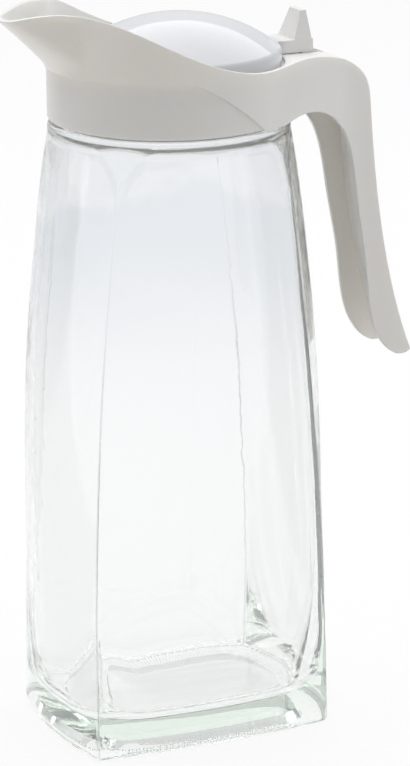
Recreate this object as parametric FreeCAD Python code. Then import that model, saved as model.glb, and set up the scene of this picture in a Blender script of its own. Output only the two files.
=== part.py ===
import FreeCAD, Part

import os
from math import acos, asin, atan2, cos, hypot, pi, radians, sin, tan

# A glass fridge jug with a moulded pouring collar. The collar carries the spout and the handle
# in one piece, and a domed flap with a thumb tab is hinged on it. Millimetres, +Z up, +X towards
# the handle, -X towards the spout. The origin is the centre of the base, on the table.

V = FreeCAD.Vector

# ---------------------------------------------------------------- glass body
body_height = 241.0         # table to the flat shoulder
base_length = 108.4         # along X, at the foot
belly_length = 115.6        # along X, at half height
base_width = 83.0           # along Y, at the foot
shoulder_diameter = 92.6    # round at the top
end_bow_at_foot = 5.1       # how far the ends bow out beyond their arrises, at the foot
face_bow_at_foot = 3.1      # and the two long faces
arris_radius = 3.4          # rounding of the upright arrises
heel_radius = 2.8           # rounding under the walls
shoulder_round = 2.0
glass_wall = 3.2
floor_thickness = 12.5
inner_heel_radius = 9.0
inner_arris_radius = 2.6
inner_corner_radius = 28.0  # the same arrises at the floor, where the room inside is much rounder
inner_corner_fade = 70.0    # height over which they sharpen
push_up_depth = 3.8
bearing_band = 8.0          # width of the ring that stands on the table
push_up_corner = 14.0
push_up_slope = 3.0

# ---------------------------------------------------------------- glass neck
neck_radius = 42.6
neck_height = 18.2          # shoulder to rim
mouth_radius = 38.5
rim_round = 1.4
snap_bead_height = 11.0     # middle of the bead above the shoulder
snap_bead_half = 2.2
snap_bead_out = 1.1

# ---------------------------------------------------------------- collar
collar_gap = 1.0            # shoulder to the skirt's lower edge
skirt_radius = 46.3
skirt_wall = 2.2
skirt_round = 1.5
catch_in = 1.4              # how far the catch under the glass bead stands in
catch_height = 3.0
step_height = 21.0          # skirt's lower edge to the soft step of the upper wall
step_out = 0.9
collar_wall = 2.0
deck_thickness = 2.0
pour_radius = 30.0

# spout: seen from above, a round nose with straight flanks that run into the collar's circle
spout_reach = 21.4          # how far the lip stands out, at the height below
spout_height = 21.3         # above the step
spout_flare = 1.12          # 1 is a straight keel, more curves it outwards
spout_nose = 9.5            # radius of the nose at the lip
spout_nose_low = 30.0       # and at the step, where it dies away into the collar
spout_flank = 30.0          # degrees between each flank and the jug's middle plane
spout_blend = 3.0           # softness of the inside corner between flank and collar
spout_edge_room = 0.401     # degrees of plain collar left beside it, where its flanks have sunk in
spout_levels = [0, 3.5, 7.5, 12, 17, 21, 25]    # heights above the step where its plan is drawn

# the upper rim and the step line seen from the side: X, height above the skirt's lower edge
rim_line = [(-78.0, 41.6), (-67.0, 42.3), (-53.0, 45.0), (-37.0, 43.2), (-19.0, 34.9), (-2.0, 27.2),
            (12.0, 23.2), (27.0, 21.8), (43.0, 22.9), (58.0, 20.9)]
back_line = [(70.4, 16.2), (76.8, 9.8), (79.0, -0.9), (80.5, -19.9), (83.2, -43.3), (87.6, -68.0),
             (93.0, -88.5), (97.6, -101.5)]
under_line = [(37.0, 1.3), (48.4, 1.7), (60.4, -3.5), (67.0, -11.5), (70.7, -23.0), (73.4, -41.0),
              (77.2, -64.0), (79.6, -84.0), (84.2, -96.0), (92.0, -102.6), (97.6, -101.5)]
step_line = [(-10.0, 21.0), (-1.5, 16.6), (7.0, 11.2), (20.5, 0.0)]

# ---------------------------------------------------------------- handle
grip_start = (72.5, 13.4)   # X and half width where the side plates turn into the grip
grip_end = (98.0, 12.2)
grip_blend = 40.0           # radius of that turn in plan
handle_wall = 2.2
back_wall = 2.4
bridge_height = 20.5        # flat top of the handle's root above the skirt's lower edge

# ---------------------------------------------------------------- flap
flap_centre = 4.2           # along X
flap_radius = 39.2
flap_apex = 39.0            # above the skirt's lower edge
flap_edge = 25.3            # where the dome turns down into its lip
flap_edge_round = 2.5
flap_wall = 2.0
flap_play = 0.3             # flap above the deck and the bridge
flap_clearance = 1.8        # flap to the bridge's curved front

# hinge and thumb tab
hinge_x = 54.8
hinge_drop = 1.9            # hinge axis below the bridge's top
pin_radius = 1.3
pin_play = 0.08
pin_length = 2.3            # beyond the barrel on each side
barrel_radius = 2.2
barrel_half = 7.2
slot_play = 0.4             # barrel to the ears, and round its swing
slot_back = 62.0            # the slot runs on behind the tab so that it can lean back
ear_wall = 2.4
ear_below = 3.2             # ear under the hinge axis
arm_back = 57.2
arm_height = 4.9
tab_foot = 49.3
tab_top = (53.0, 55.4)
tab_height = 15.6
tab_top_half = 4.6

# ---------------------------------------------------------------- heights worked out from the sizes
neck_top = body_height + neck_height
skirt_bottom = body_height + collar_gap
step_z = skirt_bottom + step_height
deck_top = neck_top + deck_thickness
bridge_top = skirt_bottom + bridge_height
hinge_z = bridge_top - hinge_drop
shell_radius = skirt_radius + step_out
shoulder_radius = shoulder_diameter / 2
base_arris = (base_length / 2 - end_bow_at_foot, base_width / 2 - face_bow_at_foot)
wall_top = body_height - shoulder_round
inner_top = body_height - 7.0
tall = 80.0
deep = 140.0


# ---------------------------------------------------------------- plain helpers
def edge(a, b):
    return Part.LineSegment(a, b).toShape()


def arc(a, middle, b):
    return Part.Arc(a, middle, b).toShape()


def curve(points):
    spline = Part.BSplineCurve()
    spline.interpolate(Points=points)
    return spline


def side(points, lift=0.0):
    """Points of a side view, given as X and height."""
    return [V(x, 0, z + lift) for x, z in points]


def across(wire, half_width):
    """A closed side-view wire, drawn out along Y on both sides of the middle."""
    face = Part.Face(wire)
    face.translate(V(0, -half_width, 0))
    return face.extrude(V(0, 2 * half_width, 0))


def turned(wire):
    """A closed wire in the XZ plane, turned about the Z axis."""
    return Part.Face(wire).revolve(V(0, 0, 0), V(0, 0, 1), 360)


def box(x0, x1, half_y, z0, z1):
    return Part.makeBox(x1 - x0, 2 * half_y, z1 - z0, V(x0, -half_y, z0))


def loft(wires, ruled=False):
    return Part.makeLoft(wires, True, ruled)


# ---------------------------------------------------------------- glass body
def arris_rounding(share):
    """Crisp for most of the height, opening out into the round shoulder."""
    return arris_radius + (shoulder_radius - arris_radius) * share ** 6


def body_outline(share, z, inset, corner):
    """Four bowed faces joined by rounded arrises, at a share of the body's height."""
    if share >= 1:
        return round_outline(shoulder_radius - inset, z)
    if share < 0.5:
        half_length = base_length / 2 + (belly_length - base_length) * share
    else:
        half_length = belly_length / 2 - (belly_length / 2 - shoulder_radius) * (2 * share - 1) ** 1.75
    half_width = base_width / 2 + (shoulder_radius - base_width / 2) * share
    round_arris = shoulder_radius * cos(pi / 4)
    arris_x = base_arris[0] - (base_arris[0] - round_arris) * share ** 2
    arris_y = base_arris[1] - (base_arris[1] - round_arris) * sin(pi / 2 * share)

    face_bow = half_width - arris_y
    end_bow = half_length - arris_x
    face_radius = (arris_x ** 2 + face_bow ** 2) / (2 * face_bow)
    end_radius = (arris_y ** 2 + end_bow ** 2) / (2 * end_bow)
    face_centre = V(0, half_width - face_radius, 0)
    end_centre = V(half_length - end_radius, 0, 0)

    # the rounding circle touches both bowed faces from inside
    to_face = face_radius - inset - corner
    to_end = end_radius - inset - corner
    line = end_centre - face_centre
    apart = line.Length
    along = (to_face ** 2 - to_end ** 2 + apart ** 2) / (2 * apart)
    off = (to_face ** 2 - along ** 2) ** 0.5
    line.normalize()
    centre = face_centre + line * along + V(line.y, -line.x, 0) * off
    on_face = centre + (centre - face_centre).normalize() * corner
    on_end = centre + (centre - end_centre).normalize() * corner
    middle = centre + (on_face + on_end - centre * 2).normalize() * corner
    face_middle = V(0, half_width - inset, 0)
    end_middle = V(half_length - inset, 0, 0)
    return eight_arcs(on_end, middle, on_face, face_middle, end_middle, z)


def round_outline(radius, z):
    """A circle split at the same eight places as the body's outline."""
    def at(angle):
        return V(radius * cos(radians(angle)), radius * sin(radians(angle)), 0)
    return eight_arcs(at(27), at(45), at(63), at(90), at(0), z)


def eight_arcs(on_end, corner, on_face, face_middle, end_middle, z):
    """The whole outline from its first quarter, which is mirrored in both planes."""
    def place(point, sx, sy):
        return V(point.x * sx, point.y * sy, z)
    edges = []
    for sx, sy in ((1, 1), (-1, 1), (-1, -1), (1, -1)):
        first, last = (on_end, on_face) if sx * sy > 0 else (on_face, on_end)
        edges.append(arc(place(first, sx, sy), place(corner, sx, sy), place(last, sx, sy)))
        if sx * sy > 0:
            edges.append(arc(place(on_face, sx, sy), place(face_middle, sx, sy), place(on_face, -sx, sy)))
        else:
            edges.append(arc(place(on_end, sx, sy), place(end_middle, sx, sy), place(on_end, sx, -sy)))
    return Part.Wire(edges)


def height_share(z):
    return (z - heel_radius) / (wall_top - heel_radius)


def body_outside():
    heel = []
    for step in range(4):
        lean = radians(30 * step)
        inset = heel_radius * (1 - sin(lean))
        heel.append(body_outline(0, heel_radius * (1 - cos(lean)), inset, arris_radius - inset))
    walls = []
    for share in (0, 0.25, 0.5, 0.7, 0.85, 0.95, 1):
        z = heel_radius + share * (wall_top - heel_radius)
        walls.append(body_outline(share, z, 0, arris_rounding(share)))
    return loft(heel).fuse(loft(walls))


def inner_arris(share, above_floor):
    """Very round at the floor, then as crisp as the outside, then round again at the shoulder."""
    soft = max(0, 1 - above_floor / inner_corner_fade) ** 2
    shoulder = (shoulder_radius - glass_wall - inner_arris_radius) * share ** 6
    return inner_arris_radius + (inner_corner_radius - inner_arris_radius) * soft + shoulder


def body_inside():
    """The room for the drink, up to where the shoulder turns in."""
    start = floor_thickness + inner_heel_radius
    share = height_share(start)
    heel = []
    for step in range(4):
        lean = radians(30 * step)
        inset = inner_heel_radius * (1 - sin(lean))
        z = floor_thickness + inner_heel_radius * (1 - cos(lean))
        heel.append(body_outline(share, z, glass_wall + inset, inner_arris(share, 0) - inset))
    walls = [heel[-1]]
    for part in (0.1, 0.25, 0.45, 0.65, 0.8, 0.92):
        z = start + part * (inner_top - start)
        share = height_share(z)
        walls.append(body_outline(share, z, glass_wall, inner_arris(share, z - start)))
    walls.append(round_outline(shoulder_radius - glass_wall, inner_top))
    return loft(heel).fuse(loft(walls))


def neck_outside():
    """Shoulder and snap finish, turned as one."""
    bead = body_height + snap_bead_height
    bead_radius = neck_radius + snap_bead_out
    ledge = shoulder_radius - shoulder_round
    lean = cos(pi / 4)
    middle = V(ledge + shoulder_round * lean, 0, wall_top + shoulder_round * lean)
    points = [
        V(ledge, 0, body_height),
        V(neck_radius, 0, body_height),
        V(neck_radius, 0, bead - snap_bead_half),
        V(neck_radius, 0, bead + snap_bead_half),
        V(neck_radius, 0, neck_top - rim_round),
        V(neck_radius - rim_round, 0, neck_top),
        V(0, 0, neck_top),
    ]
    rim_middle = V(neck_radius - rim_round * (1 - lean), 0, neck_top - rim_round * (1 - lean))
    edges = [
        edge(V(0, 0, wall_top), V(shoulder_radius, 0, wall_top)),
        arc(V(shoulder_radius, 0, wall_top), middle, points[0]),
        edge(points[0], points[1]),
        edge(points[1], points[2]),
        arc(points[2], V(bead_radius, 0, bead), points[3]),
        edge(points[3], points[4]),
        arc(points[4], rim_middle, points[5]),
        edge(points[5], points[6]),
        edge(points[6], V(0, 0, wall_top)),
    ]
    return turned(Part.Wire(edges))


def neck_inside():
    """The shoulder turns in to the mouth in one smooth sweep."""
    start = V(shoulder_radius - glass_wall, 0, inner_top)
    end = V(mouth_radius, 0, body_height + 4.0)
    sweep = Part.BSplineCurve()
    sweep.interpolate(Points=[start, end], InitialTangent=V(0, 0, 9), FinalTangent=V(0, 0, 9))
    top = neck_top + 1
    edges = [
        edge(V(0, 0, inner_top), start),
        sweep.toShape(),
        edge(end, V(mouth_radius, 0, top)),
        edge(V(mouth_radius, 0, top), V(0, 0, top)),
        edge(V(0, 0, top), V(0, 0, inner_top)),
    ]
    return turned(Part.Wire(edges))


def push_up():
    """The hollow under the floor, inside the band that stands on the table."""
    inset = heel_radius + bearing_band
    low = body_outline(0, 0, inset, push_up_corner)
    high = body_outline(0, push_up_depth, inset + push_up_slope, push_up_corner - push_up_slope)
    return loft([low, high], ruled=True)


def glass_body():
    outside = body_outside().fuse(neck_outside())
    inside = body_inside().fuse(neck_inside())
    return outside.cut(inside).cut(push_up()).removeSplitter()


# ---------------------------------------------------------------- collar shell
def spout_radius(angle, height):
    """Distance from the jug's axis to the wall, at an angle to either side of the spout."""
    share = min(1, height / spout_height)
    nose = spout_nose_low + (spout_nose - spout_nose_low) * share
    middle = shell_radius + spout_reach * (height / spout_height) ** spout_flare - nose
    flank = radians(spout_flank)
    turn = abs(angle)
    if turn < atan2(nose * cos(flank), middle + nose * sin(flank)):
        out = middle * cos(turn) + (nose ** 2 - (middle * sin(turn)) ** 2) ** 0.5
    else:
        out = (middle * sin(flank) + nose) / sin(turn + flank)
    soft = spout_blend * (0.2 + 0.8 * share)
    blend = max(0, 1 - abs(out - shell_radius) / soft)
    return max(out, shell_radius) + blend ** 2 * soft / 4


def spout_half_angle():
    """How much of the collar the spout takes up on each side: its flanks, run in at the top."""
    flank = radians(spout_flank)
    middle = shell_radius + spout_reach * (spout_levels[-1] / spout_height) ** spout_flare - spout_nose
    sunk = (middle * sin(flank) + spout_nose) / (shell_radius - spout_blend)
    return asin(min(1, sunk)) - flank + radians(spout_edge_room)


def spout_edge(height, inset):
    """The spout's plan at a height above the step, as one curve, with its wall kept even."""
    half = spout_half_angle()
    steps = 24
    points = []
    for i in range(-steps, steps + 1):
        angle = half * i / steps
        radius = spout_radius(angle, height)
        slope = (spout_radius(angle + 0.001, height) - spout_radius(angle - 0.001, height)) / 0.002
        out = V(-cos(angle), -sin(angle), 0)
        along = V(sin(angle), -cos(angle), 0)
        normal = (out * radius - along * slope).normalize()
        points.append(out * radius - normal * inset + V(0, 0, step_z + height))
    spline = Part.BSplineCurve()
    first = V(sin(-half), -cos(-half), 0)
    last = V(sin(half), -cos(half), 0)
    spline.interpolate(Points=points, InitialTangent=first, FinalTangent=last)
    return spline.toShape()


def shell_outline(height, inset):
    """Plan of the upper wall: spout, round collar, side plates and grip in one closed line."""
    radius = shell_radius - inset
    z = step_z + height
    tangent = atan2(grip_start[1], grip_start[0]) + acos(shell_radius / hypot(*grip_start))
    plate = V(sin(tangent), -cos(tangent), 0)
    grip = V(grip_end[0] - grip_start[0], grip_end[1] - grip_start[1], 0).normalize()
    plate_out = V(-plate.y, plate.x, 0)
    grip_out = V(-grip.y, grip.x, 0)
    turn = plate.getAngle(grip)
    centre = V(*grip_start, 0) - plate * (grip_blend * tan(turn / 2)) + plate_out * grip_blend
    bend = grip_blend + inset
    start = V(radius * cos(tangent), radius * sin(tangent), 0)
    bend_in = centre - plate_out * bend
    bend_middle = centre - (plate_out + grip_out).normalize() * bend
    bend_out = centre - grip_out * bend
    end = bend_out + grip * ((grip_end[0] + 10 - bend_out.x) / grip.x)
    spout_end = pi - spout_half_angle()
    collar_middle = (tangent + spout_end) / 2

    def place(point, mirror):
        return V(point.x, point.y * mirror, z)

    def round_at(angle):
        return V(radius * cos(angle), radius * sin(angle), 0)

    edges = [spout_edge(height, inset)]
    for mirror in (-1, 1):
        run = [
            arc(place(round_at(spout_end), mirror), place(round_at(collar_middle), mirror), place(start, mirror)),
            edge(place(start, mirror), place(bend_in, mirror)),
            arc(place(bend_in, mirror), place(bend_middle, mirror), place(bend_out, mirror)),
            edge(place(bend_out, mirror), place(end, mirror)),
        ]
        edges += run
    edges.append(edge(place(end, -1), place(end, 1)))
    return Part.Wire(Part.__sortEdges__(edges))


def shell_room(inset):
    """The solid inside the upper wall's plan, flared at the spout and straight below the step."""
    upper = loft([shell_outline(h, inset) for h in spout_levels])
    lower = Part.Face(shell_outline(0, inset)).extrude(V(0, 0, -deep))
    return upper.fuse(lower)


def side_profile():
    """What the moulding fills when it is seen from the side: wall, spout, bridge and handle."""
    rim = curve(side(rim_line + back_line, skirt_bottom)).toShape()
    under = curve(side(under_line, skirt_bottom)).toShape()
    step = curve(side(step_line, skirt_bottom)).toShape()
    lip_low = V(rim_line[0][0], 0, step_z)
    step_start = side(step_line[:1], skirt_bottom)[0]
    step_end = side(step_line[-1:], skirt_bottom)[0]
    root = side(under_line[:1], skirt_bottom)[0]
    root_low = V(root.x - 5.0, 0, skirt_bottom)
    edges = [
        rim,
        under,
        edge(root, root_low),
        edge(root_low, step_end),
        step,
        edge(step_start, lip_low),
        edge(lip_low, side(rim_line[:1], skirt_bottom)[0]),
    ]
    return Part.Wire(Part.__sortEdges__(edges))


def back_web():
    """Side view of the wall that closes the handle's top and back."""
    outer = curve(side(rim_line + back_line, skirt_bottom))
    first = outer.parameter(V(rim_line[-1][0], 0, skirt_bottom + rim_line[-1][1]))
    last = outer.LastParameter
    points = []
    for i in range(13):
        at = first + (last - first) * i / 12
        along = V(*outer.tangent(at)[0])
        inward = V(along.z, 0, -along.x)
        if inward.z > 0:
            inward = inward * -1
        points.append((outer.value(at), outer.value(at) + inward * back_wall))
    front = flap_centre
    top_out = V(front, 0, bridge_top)
    top_in = V(front, 0, bridge_top - back_wall)
    outside = [p for p, q in points]
    inside = [q for p, q in points]
    edges = [
        edge(top_in, top_out),
        edge(top_out, outside[0]),
        outer.toShape(first, last),
        edge(outside[-1], inside[-1]),
        curve(inside).toShape(),
        edge(inside[0], top_in),
    ]
    return Part.Wire(Part.__sortEdges__(edges))


def skirt():
    """The band that snaps over the glass bead, and the deck that rests on the glass rim."""
    inner = skirt_radius - skirt_wall
    lean = cos(pi / 4)
    corner = V(skirt_radius - skirt_round * (1 - lean), 0, skirt_bottom + skirt_round * (1 - lean))
    catch = inner - catch_in
    edges = [
        edge(V(catch, 0, skirt_bottom), V(skirt_radius - skirt_round, 0, skirt_bottom)),
        arc(V(skirt_radius - skirt_round, 0, skirt_bottom), corner, V(skirt_radius, 0, skirt_bottom + skirt_round)),
        edge(V(skirt_radius, 0, skirt_bottom + skirt_round), V(skirt_radius, 0, step_z)),
        edge(V(skirt_radius, 0, step_z), V(inner, 0, step_z)),
        edge(V(inner, 0, step_z), V(inner, 0, deck_top)),
        edge(V(inner, 0, deck_top), V(pour_radius, 0, deck_top)),
        edge(V(pour_radius, 0, deck_top), V(pour_radius, 0, neck_top)),
        edge(V(pour_radius, 0, neck_top), V(inner, 0, neck_top)),
        edge(V(inner, 0, neck_top), V(inner, 0, skirt_bottom + catch_height + catch_in)),
        edge(V(inner, 0, skirt_bottom + catch_height + catch_in), V(catch, 0, skirt_bottom + catch_height)),
        edge(V(catch, 0, skirt_bottom + catch_height), V(catch, 0, skirt_bottom)),
    ]
    return turned(Part.Wire(edges))


def hinge_ears():
    """Two ears under the bridge, one each side of the slot that the flap's barrel turns in."""
    reach = barrel_half + slot_play + ear_wall
    swing = hypot(arm_back - hinge_x, hinge_drop + flap_play) + slot_play
    return box(hinge_x - swing, hinge_x + swing, reach, hinge_z - ear_below, bridge_top)


def hinge_slot():
    swing = hypot(arm_back - hinge_x, hinge_drop + flap_play) + slot_play
    slot = box(hinge_x - swing, slot_back, barrel_half + slot_play, hinge_z - deep / 10, bridge_top + tall)
    half = barrel_half + slot_play + pin_length
    bore = Part.makeCylinder(pin_radius + pin_play, 2 * half, V(hinge_x, -half, hinge_z), V(0, 1, 0))
    return slot.fuse(bore)


def collar():
    outer = shell_room(0)
    inner = shell_room(collar_wall)
    profile = across(side_profile(), tall)
    moulding = outer.common(profile)
    flap_well = Part.makeCylinder(flap_radius + flap_clearance, tall, V(flap_centre, 0, bridge_top - 2 * back_wall))
    web = inner.common(across(back_web(), tall)).common(moulding).cut(flap_well)
    walls = moulding.cut(inner)
    above = inner.common(box(0, grip_end[0], tall, bridge_top, bridge_top + tall))
    body = walls.fuse([web, skirt(), hinge_ears()])
    return body.cut(above).cut(hinge_slot()).removeSplitter()


# ---------------------------------------------------------------- flap
def dome():
    """A shallow dome with a turned-down lip, hollow underneath."""
    low = deck_top + flap_play
    edge_z = skirt_bottom + flap_edge
    apex = skirt_bottom + flap_apex
    rise = apex - edge_z
    ball = (flap_radius ** 2 + rise ** 2) / (2 * rise)

    def cap(radius, ball_radius, bottom):
        centre = apex_inner(radius) if radius < flap_radius else apex
        drop = ball_radius - (ball_radius ** 2 - radius ** 2) ** 0.5
        half = ball_radius - (ball_radius ** 2 - (radius / 2) ** 2) ** 0.5
        corner = V(radius, 0, centre - drop)
        edges = [
            edge(V(0, 0, bottom), V(radius, 0, bottom)),
            edge(V(radius, 0, bottom), corner),
            arc(corner, V(radius / 2, 0, centre - half), V(0, 0, centre)),
            edge(V(0, 0, centre), V(0, 0, bottom)),
        ]
        return turned(Part.Wire(edges))

    def apex_inner(radius):
        return apex - flap_wall

    outside = cap(flap_radius, ball, low)
    rim = [e for e in outside.Edges if abs(e.BoundBox.ZMax - edge_z) < 0.1 and e.BoundBox.ZLength < 0.1]
    outside = outside.makeFillet(flap_edge_round, rim)
    inside = cap(flap_radius - flap_wall, ball - flap_wall, low)
    shell = outside.cut(inside)
    shell.translate(V(flap_centre, 0, 0))
    return shell


def tab():
    """A thumb tab that thins and narrows upwards from the arm."""
    foot = bridge_top + flap_play
    shelf = foot + arm_height
    top = foot + tab_height
    leaning = Part.makePolygon([
        V(tab_foot, 0, foot),
        V(tab_foot, 0, shelf),
        V(tab_top[0], 0, top),
        V(tab_top[1], 0, top),
        V(arm_back, 0, foot),
        V(tab_foot, 0, foot),
    ])
    wedge = across(leaning, barrel_half)
    front = [
        V(0, -barrel_half, foot),
        V(0, barrel_half, foot),
        V(0, barrel_half, shelf),
        V(0, tab_top_half, top),
        V(0, -tab_top_half, top),
        V(0, -barrel_half, shelf),
        V(0, -barrel_half, foot),
    ]
    narrow = Part.Face(Part.makePolygon(front)).extrude(V(grip_end[0], 0, 0))
    return wedge.common(narrow)


def flap():
    foot = bridge_top + flap_play
    inside_lip = flap_centre + (flap_radius ** 2 - barrel_half ** 2) ** 0.5 - flap_wall / 2
    arm = box(inside_lip, arm_back, barrel_half, foot, foot + arm_height)
    barrel = Part.makeCylinder(barrel_radius, 2 * barrel_half, V(hinge_x, -barrel_half, hinge_z), V(0, 1, 0))
    neck = box(hinge_x - barrel_radius, hinge_x + barrel_radius, barrel_half, hinge_z, foot + 1)
    half = barrel_half + pin_length
    pin = Part.makeCylinder(pin_radius, 2 * half, V(hinge_x, -half, hinge_z), V(0, 1, 0))
    return dome().fuse([arm, tab(), neck, barrel, pin]).removeSplitter()


# ---------------------------------------------------------------- write one file per piece
def write(name, shape):
    solids = shape.Solids
    solid = solids[0]
    print(name, len(solids), "solid", solid.isValid(), round(shape.Volume / 1000, 1), "cm3", shape.BoundBox)
    solid.exportStep("parts/" + name + ".step")


os.makedirs("parts", exist_ok=True)
write("glass_body", glass_body())
write("collar", collar())
write("flap", flap())
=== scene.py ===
from math import pi, radians

import bpy
from mathutils import Matrix, Vector

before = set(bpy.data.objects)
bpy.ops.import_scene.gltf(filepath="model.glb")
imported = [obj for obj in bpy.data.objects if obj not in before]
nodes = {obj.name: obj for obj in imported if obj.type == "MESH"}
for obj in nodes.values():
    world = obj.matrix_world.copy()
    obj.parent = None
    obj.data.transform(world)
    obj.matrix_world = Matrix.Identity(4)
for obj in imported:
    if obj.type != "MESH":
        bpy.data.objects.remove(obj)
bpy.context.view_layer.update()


# ---------------------------------------------------------------- glass body
# The jug itself: one piece of pressed soda-lime glass, clear, with the faint green that shows
# where it is thick. Its walls are slightly uneven from the mould, fine mould lines run up the
# arrises with a darker line of painted shade along each, and the ring it stands on is knurled
# so that the hot glass could slide.

class Signal:
    """A socket in one material's tree. Sums, products and the like on it add Math nodes."""

    def __init__(self, tree, socket=None):
        self.tree = tree
        self.socket = socket

    def make(self, kind, settings=None, values=None, output=0):
        """Adds a node: its settings first, then the values or links of its sockets."""
        made = self.tree.nodes.new(kind)
        for name, value in (settings or {}).items():
            setattr(made, name, value)
        for name, value in (values or {}).items():
            if isinstance(value, Signal):
                self.tree.links.new(value.socket, made.inputs[name])
            else:
                made.inputs[name].default_value = value
        return Signal(self.tree, made.outputs[output] if len(made.outputs) else None)

    def sum_of(self, operation, *values):
        return self.make("ShaderNodeMath", {"operation": operation}, dict(enumerate(values)))

    def __add__(self, other):
        return self.sum_of("ADD", self, other)

    def __radd__(self, other):
        return self.sum_of("ADD", other, self)

    def __sub__(self, other):
        return self.sum_of("SUBTRACT", self, other)

    def __rsub__(self, other):
        return self.sum_of("SUBTRACT", other, self)

    def __mul__(self, other):
        return self.sum_of("MULTIPLY", self, other)

    def __rmul__(self, other):
        return self.sum_of("MULTIPLY", other, self)

    def __truediv__(self, other):
        return self.sum_of("DIVIDE", self, other)

    def sine(self):
        return self.sum_of("SINE", self)

    def size(self):
        return self.sum_of("ABSOLUTE", self)

    def above(self, level, soft):
        """0 below the level and 1 above it, with a soft step that many units wide."""
        return self.make(
            "ShaderNodeMapRange",
            {"interpolation_type": "SMOOTHSTEP"},
            {"Value": self, "From Min": level - soft / 2, "From Max": level + soft / 2},
        )


def new_finish(name):
    material = bpy.data.materials.new(name)
    material.use_nodes = True
    material.node_tree.nodes.clear()
    return material, Signal(material.node_tree)


def place_in_metres(tree):
    """Position on the piece and its three parts."""
    spot = tree.make("ShaderNodeTexCoord", output="Object")
    parts = tree.make("ShaderNodeSeparateXYZ", None, {"Vector": spot})
    node = parts.socket.node
    return spot, *(Signal(tree.tree, node.outputs[axis]) for axis in "XYZ")


def paint(piece, material):
    piece.data.materials.clear()
    piece.data.materials.append(material)


glass, tree = new_finish("clear green-edged glass")
spot, x, y, z = place_in_metres(tree)

# slow unevenness of the pressed walls, drawn out upwards
drawn = tree.make("ShaderNodeMapping", None, {"Vector": spot, "Scale": (1.0, 1.0, 0.35)})
waves = tree.make("ShaderNodeTexNoise", None, {"Vector": drawn, "Scale": 26.0, "Detail": 1.5})
# the four arrises, followed from foot to shoulder: a fine mould line runs up the middle of
# each, and a darker line of painted shade is laid along it for the dark edge that the rounded
# arris shows
heel_top, wall_height = 0.0028, 0.2362
foot_arris = (0.0491, 0.0384)           # where the faces would meet at the foot, along X and Y
drawn_in = (0.01636, 0.00566)           # how much nearer to the axis that is at the shoulder
line_half, line_soft = 0.0003, 0.0003
share = (z - heel_top) * (1 / wall_height)
arris_x = foot_arris[0] - share * share * drawn_in[0]
arris_y = foot_arris[1] - (share * (pi / 2)).sine() * drawn_in[1]
reach = tree.sum_of("SQRT", arris_x * arris_x + arris_y * arris_y)
off_arris = (x.size() * arris_y - y.size() * arris_x) / reach
out_there = (x.size() * arris_x + y.size() * arris_y) / reach - reach
# only on the outer wall, and dying away towards the shoulder
on_wall = out_there.above(-0.0026, 0.0006) * (1 - share.above(0.70, 0.5))
arris_ridge_and_painted_shade = (1 - off_arris.size().above(line_half, line_soft)) * on_wall
# knurl under the foot: short bars all round the standing band
bars_round = 118.0                      # radians of the bar pattern to a radian round the foot
foot_stretch = 1.35                     # the foot is longer than it is wide
round_foot = tree.sum_of("ARCTAN2", y * foot_stretch, x)
bars = (round_foot * bars_round).sine().above(0.1, 1.2)
underneath = 1 - z.above(0.0006, 0.0004)
knurl = bars * underneath
wave_height, knurl_height, seam_height = 0.00014, 0.0006, 0.0002
rough = waves * wave_height + knurl * knurl_height + arris_ridge_and_painted_shade * seam_height
bump = tree.make("ShaderNodeBump", None, {"Height": rough, "Strength": 1.0, "Distance": 1.0})
# the glass's tint, darkened along the arrises by the painted shade line
shade = tree.make("ShaderNodeMix", {"data_type": "RGBA"}, {
    "Factor": arris_ridge_and_painted_shade,
    "A": (0.985, 0.988, 0.992, 1),
    "B": (0.55, 0.57, 0.57, 1),
}, output="Result")
# a little light is let straight through, in place of what a thick floor passes on after more
# reflections than are followed
let_through = 0.07
glass_shader = tree.make("ShaderNodeBsdfPrincipled", None, {
    "Base Color": shade,
    "Roughness": 0.0,
    "IOR": 1.5,
    "Transmission Weight": 1.0,
    "Alpha": 1 - let_through,
    "Normal": bump,
})
green = tree.make("ShaderNodeVolumeAbsorption", None, {
    "Color": (0.70, 0.90, 0.72, 1),
    "Density": 6.0,
})
tree.make("ShaderNodeOutputMaterial", None, {"Surface": glass_shader, "Volume": green})
paint(nodes["glass_body"], glass)


# ---------------------------------------------------------------- collar
# Spout, ring, handle root and grip in one moulding of off-white polypropylene that snaps over
# the bead on the glass neck. Satin, with the very fine grain of the tool and soft flow marks.
moulding, tree = new_finish("off-white satin moulding")
spot, x, y, z = place_in_metres(tree)
grain = tree.make("ShaderNodeTexNoise", None, {"Vector": spot, "Scale": 900.0, "Detail": 2.0})
flow = tree.make("ShaderNodeTexNoise", None, {"Vector": spot, "Scale": 22.0, "Detail": 2.0})
plain_tone = tree.make("ShaderNodeMix", {"data_type": "RGBA"}, {
    "Factor": flow,
    "A": (0.80, 0.79, 0.77, 1),
    "B": (0.83, 0.825, 0.805, 1),
}, output="Result")
# painted light: the walls inside the handle's channel are painted paler and warmer, standing in
# for the light that reaches them by reflection between the walls and through the thin plastic
channel_painted_light = x.above(0.066, 0.008) * (1 - y.size().above(0.0108, 0.0006))
tone_with_painted_light = tree.make("ShaderNodeMix", {"data_type": "RGBA"}, {
    "Factor": channel_painted_light * 0.9,
    "A": plain_tone,
    "B": (0.97, 0.95, 0.91, 1),
}, output="Result")
# sharp edges catch the light as if they were broken by about half a millimetre
edges = tree.make("ShaderNodeBevel", {"samples": 4}, {"Radius": 0.0006})
surface = tree.make("ShaderNodeBump", None, {
    "Height": grain, "Strength": 0.25, "Distance": 0.0001, "Normal": edges,
})
moulding_shader = tree.make("ShaderNodeBsdfPrincipled", None, {
    "Base Color": tone_with_painted_light,
    "Roughness": 0.3 + flow * 0.12,
    "Specular IOR Level": 0.45,
    "Subsurface Weight": 0.25,
    "Subsurface Radius": (1.0, 0.8, 0.55),
    "Subsurface Scale": 0.006,
    "Normal": surface,
})
tree.make("ShaderNodeOutputMaterial", None, {"Surface": moulding_shader})
paint(nodes["collar"], moulding)


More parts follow.
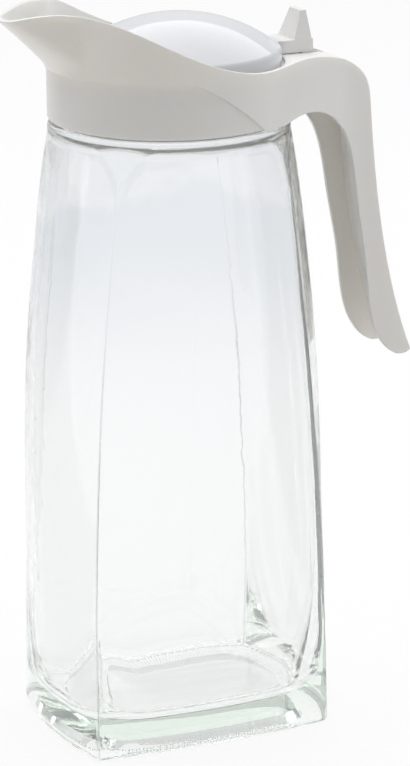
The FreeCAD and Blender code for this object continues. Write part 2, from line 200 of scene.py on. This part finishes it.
# ---------------------------------------------------------------- flap
# The domed lid with its thumb tab, moulded in the same white but polished, so that it mirrors
# the lights. It turns on two short pins that snap into the ears behind the dome.
polish, tree = new_finish("polished white moulding")
spot, x, y, z = place_in_metres(tree)
flow = tree.make("ShaderNodeTexNoise", None, {"Vector": spot, "Scale": 30.0, "Detail": 2.0})
dome_painted_shade_tone = tree.make("ShaderNodeMix", {"data_type": "RGBA"}, {
    "Factor": flow,
    "A": (0.665, 0.68, 0.71, 1),
    "B": (0.695, 0.71, 0.735, 1),
}, output="Result")
# painted shade: the dome is given a darker tone than the tab and its arm, in place of less
# light on the dome; the whole flap has the same polish
tone_with_painted_light = tree.make("ShaderNodeMix", {"data_type": "RGBA"}, {
    "Factor": x.above(0.0445, 0.003),
    "A": dome_painted_shade_tone,
    "B": (0.85, 0.85, 0.845, 1),
}, output="Result")
dust = tree.make("ShaderNodeTexNoise", None, {"Vector": spot, "Scale": 260.0, "Detail": 3.0})
polish_shader = tree.make("ShaderNodeBsdfPrincipled", None, {
    "Base Color": tone_with_painted_light,
    "Roughness": 0.05 + dust * 0.04,
    "Specular IOR Level": 0.45,
})
tree.make("ShaderNodeOutputMaterial", None, {"Surface": polish_shader})
paint(nodes["flap"], polish)


# ---------------------------------------------------------------- studio
# A pale table that runs on as a plain white ground, one large softbox overhead, a weaker one
# from the left, and a neutral room.
floor_white, tree = new_finish("white table")
path = tree.make("ShaderNodeLightPath")
path_node = path.socket.node
seen = Signal(tree.tree, path_node.outputs["Is Camera Ray"])
mirrored = Signal(tree.tree, path_node.outputs["Is Glossy Ray"])
through = Signal(tree.tree, path_node.outputs["Is Transmission Ray"])
white_seen = tree.sum_of("MAXIMUM", tree.sum_of("MAXIMUM", seen, mirrored), through)
spot, x, y, z = place_in_metres(tree)
# painted shade: the ground behind the jug falls off to a cool grey, and the whole ground is a
# little greyer, only for rays through the glass, so that the glass looks darker there; to the
# camera the ground stays white
away = x * 0.407 + y * 0.914
behind = away.above(0.60, 0.40) * (1 - away.above(0.90, 0.08) * 0.5)
ground_tone_with_painted_shade = tree.make("ShaderNodeMix", {"data_type": "RGBA"}, {
    "Factor": (behind * 0.92 + 0.08) * through,
    "A": (1, 1, 1, 1),
    "B": (0.77, 0.79, 0.84, 1),
}, output="Result")
matt = tree.make("ShaderNodeBsdfDiffuse", None, {"Color": (0.85, 0.85, 0.85, 1)})
plain = tree.make("ShaderNodeEmission", None, {"Color": ground_tone_with_painted_shade, "Strength": 1.0})
table = tree.make("ShaderNodeMixShader", None, {0: white_seen * 0.9, 1: matt, 2: plain})
tree.make("ShaderNodeOutputMaterial", None, {"Surface": table})

half = 6.0
ground = bpy.data.meshes.new("table")
ground.from_pydata(
    [(-half, -half, 0), (half, -half, 0), (half, half, 0), (-half, half, 0)], [], [(0, 1, 2, 3)]
)
floor = bpy.data.objects.new("table", ground)
bpy.context.scene.collection.objects.link(floor)
paint(floor, floor_white)


def softbox(name, place, aim, size, watts, colour=(1, 1, 1)):
    lamp = bpy.data.lights.new(name, "AREA")
    lamp.shape = "RECTANGLE"
    lamp.size, lamp.size_y = size
    lamp.energy = watts
    lamp.color = colour
    holder = bpy.data.objects.new(name, lamp)
    bpy.context.scene.collection.objects.link(holder)
    holder.location = place
    holder.rotation_euler = (Vector(aim) - Vector(place)).to_track_quat("-Z", "Y").to_euler()
    return holder


softbox("overhead softbox", (0.1, 0.35, 1.3), (0, 0, 0.2), (2.2, 1.8), 18)
softbox("far left softbox", (-1.3, 0.5, 0.6), (0, 0, 0.2), (0.7, 0.9), 2)

room = bpy.data.worlds.new("room")
bpy.context.scene.world = room
room.use_nodes = True
room.node_tree.nodes.clear()
tree = Signal(room.node_tree)
towards = tree.make("ShaderNodeTexCoord", output="Generated")
parts = tree.make("ShaderNodeSeparateXYZ", None, {"Vector": towards}).socket.node
x, y, z = (Signal(tree.tree, parts.outputs[axis]) for axis in "XYZ")
# the side of the room with no lamps in it, in front and to the left, is darker; the glass
# and what mirrors see the lighter screens that stand round the table there
path_node = tree.make("ShaderNodeLightPath").socket.node
direct = tree.sum_of(
    "MAXIMUM",
    Signal(tree.tree, path_node.outputs["Is Glossy Ray"]),
    Signal(tree.tree, path_node.outputs["Is Transmission Ray"]),
)
unlit = (x * -0.92 + y * -0.39).above(0.45, 1.0) * (1 - direct)
room_tone = tree.make("ShaderNodeMix", {"data_type": "RGBA"}, {
    "Factor": unlit,
    "A": (0.65, 0.65, 0.65, 1),
    "B": (0.12, 0.095, 0.07, 1),
}, output="Result")
ambient = tree.make("ShaderNodeBackground", None, {"Color": room_tone, "Strength": 1.0})
tree.make("ShaderNodeOutputWorld", None, {"Surface": ambient})

# the camera stands in front and to the left of the spout side, a little above the jug
lens = bpy.data.cameras.new("camera")
lens.sensor_width = 36.0
lens.lens = 167.588
lens.clip_end = 30
camera = bpy.data.objects.new("camera", lens)
bpy.context.scene.collection.objects.link(camera)
camera.matrix_world = (
    Matrix.Translation((-0.5273, -1.2159, 0.5330))
    @ Matrix.Rotation(radians(-24.0), 4, "Z")
    @ Matrix.Rotation(radians(90 - 16.69), 4, "X")
    @ Matrix.Rotation(radians(-0.47), 4, "Z")
)
bpy.context.scene.camera = camera
bpy.context.scene.view_settings.view_transform = "Standard"
